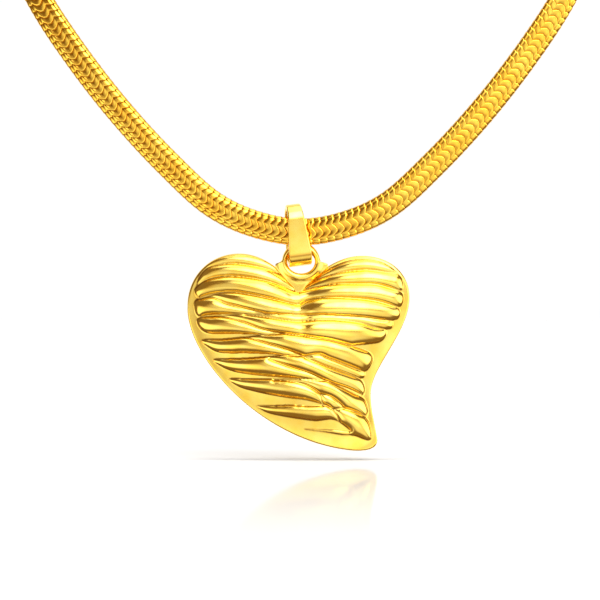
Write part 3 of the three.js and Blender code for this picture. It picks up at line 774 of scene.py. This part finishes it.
def build_eyelet():
    """A round ring whose foot flares out and fills the cleft between the heart's lobes."""
    count = 144
    turns = np.arange(count) * 2 * math.pi / count
    flare = smooth_route(EYELET_FLARE, 8) - (0, EYELET_Z)
    reach = np.hypot(flare[:, 0], flare[:, 1])
    bearing = np.arctan2(flare[:, 1], flare[:, 0]) % (2 * math.pi)
    order = np.argsort(bearing)
    inner = oval(turns, *EYELET_HOLE)
    outer = oval(turns, *EYELET_RING)
    footed = np.interp(turns, bearing[order], reach[order], left=0, right=0)
    gap = np.maximum(outer, footed) - inner
    shares = np.array((
        0, 0.02, 0.05, 0.1, 0.16, 0.24, 0.32, 0.42, 0.52, 0.62, 0.72, 0.82, 0.9, 0.95, 0.98, 1,
    ))
    reached = shares[:, None] * gap
    rising = np.sqrt(1 - np.clip(1 - 2 * reached / EYELET_WIRE, 0, 1) ** 2)
    falling = 1 - (1 - EYELET_WEB) * smoothstep((2 * reached / EYELET_WIRE - 1) / 1.3)
    left = np.clip((gap - reached) / 0.35, 0, 1)
    bulge = rising * falling * np.sqrt(1 - (1 - left) ** 2)
    radius = inner + reached
    x, z = radius * np.cos(turns), EYELET_Z + radius * np.sin(turns)
    front = np.dstack((x, -EYELET_HALF_THICKNESS * bulge, z))
    back = (front * (1, -1, 1))[-2:0:-1]
    rows = np.vstack((front, back))
    eyelet = mesh_object("eyelet_ring", rows.reshape(-1, 3), grid_faces(len(rows), count, loop_rows=True),
                         fitting_gold)
    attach(eyelet, "pendant")
    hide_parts("pendant_eyelet")


# ---- Rings and links ----

RING_R = 1.6
RING_WIRE_R = 0.35
RING_DROOP = math.pi / 4
LINK_R = 1.3
LINK_WIRE_R = 0.3
LINK_STRETCH = 1.1
LINK_COUNT = 10
DROP_R = 1.7
DROP_LOOP_R = 0.95


def wire_loop(radius, wire, stretch, place):
    """A ring of round wire in the plane of x and y, drawn apart along y by the stretch."""
    rows = []
    for turn in (np.arange(56) + 0.5) * 2 * math.pi / 56:
        out = np.array((math.cos(turn), math.sin(turn), 0))
        middle = radius * out + (0, math.copysign(stretch, out[1]), 0)
        around = np.arange(16) * 2 * math.pi / 16
        rows.append([middle + wire * (math.cos(a) * out + math.sin(a) * np.array((0, 0, 1))) for a in around])
    points = [place @ Vector(p) for row in rows for p in row]
    return points, grid_faces(56, 16, loop_rows=True)


def build_ring(name, node, body, radius, wire, stretch, place):
    points, faces = wire_loop(radius, wire, stretch, place)
    ring = mesh_object(name, points, faces, fitting_gold)
    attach(ring, body)
    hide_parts(node)


def centre_of(node):
    low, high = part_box(node)
    return (low + high) / 2 / MM


def build_extender():
    for i in range(1, LINK_COUNT + 1):
        node = f"extender_link_{i:02d}"
        sideways = (1, 0, 0) if i % 2 else (0, 1, 0)
        facing = Vector(sideways).cross(Vector((0, 0, 1)))
        place = basis(centre_of(node), sideways, (0, 0, 1), facing)
        build_ring(f"link_{i:02d}", node, node, LINK_R, LINK_WIRE_R, LINK_STRETCH, place)
    low, high = (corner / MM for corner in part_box("extender_drop"))
    loop_z = high.z - DROP_LOOP_R - LINK_WIRE_R
    middle = (low + high) / 2
    place = basis((middle.x, middle.y, loop_z), (1, 0, 0), (0, 0, 1), (0, -1, 0))
    points, faces = wire_loop(DROP_LOOP_R, LINK_WIRE_R, 0, place)
    bead_z = low.z + 1.25 * DROP_R
    rows = []
    for tilt in np.linspace(0.03, math.pi - 0.03, 25):
        neck = 1.0 if tilt > 1.2 else 1.0 - 0.18 * (1.2 - tilt)
        ring = DROP_R * math.sin(tilt) * neck
        for turn in np.arange(40) * 2 * math.pi / 40:
            height = bead_z + 1.25 * DROP_R * math.cos(tilt)
            rows.append((middle.x + ring * math.cos(turn), middle.y + ring * math.sin(turn), height))
    faces += grid_faces(25, 40, len(points))
    faces.append(tuple(range(len(points) + 39, len(points) - 1, -1)))
    faces.append(tuple(range(len(points) + 24 * 40, len(points) + 25 * 40)))
    bead = mesh_object("extender_bead", points + rows, faces, fitting_gold)
    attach(bead, "extender_drop")
    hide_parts("extender_drop")


# ---- The caps and the clasp at the chain's ends ----

CAP_LENGTH = 5.2
CAP_WIDTH = 5.4
CAP_THICKNESS = 2.7
CAP_POCKET = 2.6
CAP_EYE = 6.4
POCKET_PLAY = 0.3
CLASP_THICKNESS = 2.0
CLASP_SLOT = 1.0
LEVER_THICKNESS = 0.6
LEVER_PIVOT = (2.9, 1.6)
CAP_START = POCKET_PLAY - CAP_POCKET
EYE_AT = CAP_START + CAP_EYE
CLASP_AT = EYE_AT + 2 * RING_R


def end_frame(side):
    """Origin, away from the chain, across its width and outwards, at one end of the chain."""
    point, tangent, normal, _ = chain_frames(np.array([side * HALF_LENGTH]))
    away = Vector(tangent[0]) * side
    outward = Vector(normal[0])
    return Vector(point[0]), away, outward.cross(away), outward


def build_cap(label, side):
    origin, away, across, outward = end_frame(side)
    half = CAP_WIDTH / 2
    shell_outline = bent(
        (0.0, -half),
        ((CAP_LENGTH - 1.6, -half),),
        ((CAP_LENGTH - 0.4, -half), (CAP_LENGTH, -1.3)),
        ((CAP_LENGTH, 1.3),),
        ((CAP_LENGTH - 0.4, half), (CAP_LENGTH - 1.6, half)),
        ((0.0, half),),
    )
    shell = plate(shell_outline, [], CAP_THICKNESS, 0.55)
    pocket_size = (2 * CAP_POCKET, CHAIN_WIDTH + 2 * POCKET_PLAY, CHAIN_THICKNESS + 2 * POCKET_PLAY)
    pocket = block(pocket_size, (0, 0, 0))
    shell = combined(shell, pocket, "DIFFERENCE")
    tab_outline = ellipse(CAP_EYE, 0, 1.5, 1.5, -1.9, 1.9, 30)
    tab_outline += [(CAP_LENGTH - 0.9, 1.7), (CAP_LENGTH - 0.9, -1.7)]
    tab = plate(tab_outline, [ellipse(CAP_EYE, 0, 0.85, 0.85)], 1.0, 0.28)
    place = basis(origin + away * CAP_START, away, across, outward)
    cap = combined(shell, tab, "UNION")
    finished(cap, f"cap_{label}", place, fitting_gold, f"chain_{label}_end", f"end_cap_{label}")


def build_end_rings():
    for label, side, droop in (("left", -1, 0.0), ("right", 1, RING_DROOP)):
        _, away, across, outward = end_frame(side)
        along = away * math.cos(droop) - across * math.sin(droop)
        node = f"jump_ring_{label}"
        place = basis(centre_of(node), along, outward, along.cross(outward))
        build_ring(f"ring_{label}_wire", node, f"ring_{label}", RING_R, RING_WIRE_R, 0, place)


def build_clasp():
    origin, away, across, outward = end_frame(-1)
    place = basis(origin + away * CLASP_AT, away, across, outward)
    arm = bent(
        (-1.4, 0),
        ((-1.4, -1.4), (0.4, -1.6)),
        ((3.0, -2.6), (8.6, -3.2), (9.4, -0.4)),
        ((9.7, 2.0), (7.72, 2.25)),
        ((7.72, 1.05),),
        ((8.4, 0.4), (8.0, -0.5)),
        ((7.4, -1.8), (4.9, -1.7), (4.3, -0.6)),
        ((3.9, 0.4), (4.3, 1.2)),
        ((4.0, 2.4),),
        ((1.2, 2.3), (0.4, 1.6)),
        ((-1.4, 1.4), (-1.4, 0)),
    )[:-1]
    body = plate(arm, [ellipse(0, 0, 0.8, 0.8)], CLASP_THICKNESS, 0.3)
    body = combined(body, block((3.4, 3.6, CLASP_SLOT), (3.15, 1.65, 0)), "DIFFERENCE")
    for z in (1.1, -1.1):
        body = combined(body, block((2.6, 6, 1), (-0.4, 0, z)), "DIFFERENCE")
    finished(body, "clasp_arm", place, fitting_gold, "clasp", "clasp_body")
    lever = bent(
        (2.1, 1.2),
        ((2.8, 0.6), (3.6, 0.75)),
        ((7.42, 1.1),),
        ((7.42, 2.25),),
        ((5.6, 2.9), (4.2, 2.8)),
        ((3.4, 3.1), (3.2, 4.1)),
        ((2.3, 4.1),),
        ((1.9, 2.6), (2.1, 1.2)),
    )[:-1]
    tongue = plate(lever, [ellipse(*LEVER_PIVOT, 0.42, 0.42, steps=24)], LEVER_THICKNESS, 0.14)
    finished(tongue, "clasp_tongue", place, fitting_gold, "clasp_lever", "clasp_lever")
    pin = plate(ellipse(*LEVER_PIVOT, 0.3, 0.3, steps=24), [], CLASP_THICKNESS, 0.08)
    finished(pin, "clasp_pin", place, fitting_gold, "clasp", "clasp_rivet")
    leaf = bent((1.9, -0.1), ((2.8, 0.32), (3.7, 0.0)), ((3.7, 0.12),), ((2.8, 0.44), (1.9, 0.02)))
    spring = plate(leaf, [], LEVER_THICKNESS, 0.03)
    finished(spring, "clasp_leaf", place, spring_steel, "clasp", "clasp_spring")


# ---- The stage ----

FLOOR_SHINE = 0.42  # how much of a mirror the floor is below the heart
SHINE_NEAR, SHINE_FAR = -0.06, -0.175  # metres towards the viewer, over which it fades
SHINE_BACK = (-0.01, 0.005)  # metres, over which it ends under the heart
SHINE_SIDE = (0.025, 0.05)  # metres to either side, over which it ends


def build_floor():
    material = bpy.data.materials.new("floor_white")
    material.use_nodes = True
    nodes = Nodes(material.node_tree)
    material.node_tree.nodes.remove(material.node_tree.nodes["Principled BSDF"])
    paper = nodes.add("ShaderNodeBsdfDiffuse")
    paper.inputs["Color"].default_value = (0.53, 0.53, 0.53, 1)
    mirror = nodes.add("ShaderNodeBsdfGlossy")
    mirror.inputs["Roughness"].default_value = 0.06
    place = nodes.add("ShaderNodeSeparateXYZ")
    nodes.link(nodes.add("ShaderNodeTexCoord").outputs["Object"], place.inputs[0])
    sideways = nodes.add("ShaderNodeMath", operation="ABSOLUTE")
    nodes.link(place.outputs["X"], sideways.inputs[0])
    shine = nodes.times(
        nodes.ranged(place.outputs["Y"], SHINE_FAR, SHINE_NEAR, 0.0, FLOOR_SHINE),
        nodes.ranged(place.outputs["Y"], *SHINE_BACK, 1.0, 0.0),
        nodes.ranged(sideways.outputs[0], *SHINE_SIDE, 1.0, 0.0),
    )
    blend = nodes.add("ShaderNodeMixShader")
    nodes.link(shine, blend.inputs[0])
    nodes.link(paper.outputs[0], blend.inputs[1])
    nodes.link(mirror.outputs[0], blend.inputs[2])
    nodes.link(blend.outputs[0], material.node_tree.nodes["Material Output"].inputs["Surface"])
    size = 3000.0
    points = [(-size, -size, FLOOR_Z), (size, -size, FLOOR_Z), (size, size, FLOOR_Z), (-size, size, FLOOR_Z)]
    floor = mesh_object("floor", points, [(0, 1, 2, 3)], material)
    floor.visible_glossy = False


# Soft boxes around the object: direction, half angles where each begins to fade and ends, brightness.
STUDIO = (
    ((0.1, -1.0, 0.06), (14, 40), 0.6),
    ((0.27, -0.82, 0.6), (10, 31), 4.8),
    ((0.95, -0.4, 0.0), (14, 38), 2.2),
    ((0.2, -0.85, -0.55), (12, 38), 0.8),
    ((-0.8, -0.65, -0.4), (12, 36), 1.5),
    ((0.15, -0.1, 1.0), (14, 38), 2.0),
    ((0.0, 1.0, 0.0), (50, 75), 0.95),
)
STUDIO_BASE = 0.26
STUDIO_SHADE = (1.0, 0.62, 0.3)  # the darker parts of the room are warm


def build_studio():
    """White to the camera; the metal and the floor see soft boxes with darker space between them."""
    world = bpy.data.worlds.new("studio")
    bpy.context.scene.world = world
    world.use_nodes = True
    nodes = Nodes(world.node_tree)
    direction = nodes.add("ShaderNodeTexCoord").outputs["Generated"]
    total = None
    for towards, edge, strength in STUDIO:
        dot = nodes.add("ShaderNodeVectorMath", operation="DOT_PRODUCT")
        nodes.link(direction, dot.inputs[0])
        dot.inputs[1].default_value = Vector(towards).normalized()
        inner, outer = (math.cos(math.radians(angle)) for angle in edge)
        glow = nodes.add("ShaderNodeMapRange", interpolation_type="SMOOTHSTEP")
        for socket, number in zip(glow.inputs[1:5], (outer, inner, 0.0, strength)):
            socket.default_value = number
        nodes.link(dot.outputs["Value"], glow.inputs["Value"])
        add = nodes.add("ShaderNodeMath", operation="ADD")
        nodes.link(glow.outputs["Result"], add.inputs[0])
        if total is None:
            add.inputs[1].default_value = STUDIO_BASE
        else:
            nodes.link(total, add.inputs[1])
        total = add.outputs[0]
    background = world.node_tree.nodes["Background"]
    nodes.link(total, background.inputs["Strength"])
    tint = nodes.mixed(nodes.ranged(total, 0.15, 0.9, 0.0, 1.0), STUDIO_SHADE, (1.0, 1.0, 1.0))
    nodes.link(tint, background.inputs["Color"])
    white = nodes.add("ShaderNodeBackground")
    seen = nodes.add("ShaderNodeLightPath").outputs["Is Camera Ray"]
    choice = nodes.add("ShaderNodeMixShader")
    nodes.link(seen, choice.inputs[0])
    nodes.link(background.outputs[0], choice.inputs[1])
    nodes.link(white.outputs[0], choice.inputs[2])
    white.inputs["Color"].default_value = (1, 1, 1, 1)
    white.inputs["Strength"].default_value = 1.02
    nodes.link(choice.outputs[0], world.node_tree.nodes["World Output"].inputs["Surface"])


def build_sun():
    """An even, soft light from above that whitens the floor and drops a thin shadow under the heart."""
    light = bpy.data.lights.new("overhead", "SUN")
    light.energy = 2.5
    light.angle = math.radians(16)
    sun = bpy.data.objects.new("overhead", light)
    sun.rotation_euler = (math.radians(6), 0, 0)
    sun.visible_glossy = False
    bpy.context.scene.collection.objects.link(sun)


CAMERA_DISTANCE = 0.45
CAMERA_CENTRE = (-0.15, -9.86)  # x and z at the middle of the picture
PICTURE_WIDTH = 87.0  # millimetres across the plane of the heart


def build_camera():
    data = bpy.data.cameras.new("camera")
    data.sensor_width = 36
    data.lens = 36 * CAMERA_DISTANCE / (PICTURE_WIDTH * MM)
    data.clip_start = 0.02
    camera = bpy.data.objects.new("camera", data)
    camera.location = (CAMERA_CENTRE[0] * MM, -CAMERA_DISTANCE, CAMERA_CENTRE[1] * MM)
    camera.rotation_euler = (math.pi / 2, 0, 0)
    bpy.context.scene.collection.objects.link(camera)
    bpy.context.scene.camera = camera


build_camera()
build_chain()
build_heart_front()
build_heart_back()
build_bail()
build_eyelet()
build_extender()
for end_label, end_side in (("left", -1), ("right", 1)):
    build_cap(end_label, end_side)
build_end_rings()
build_clasp()
build_floor()
build_studio()
build_sun()
bpy.context.scene.view_settings.view_transform = "Standard"
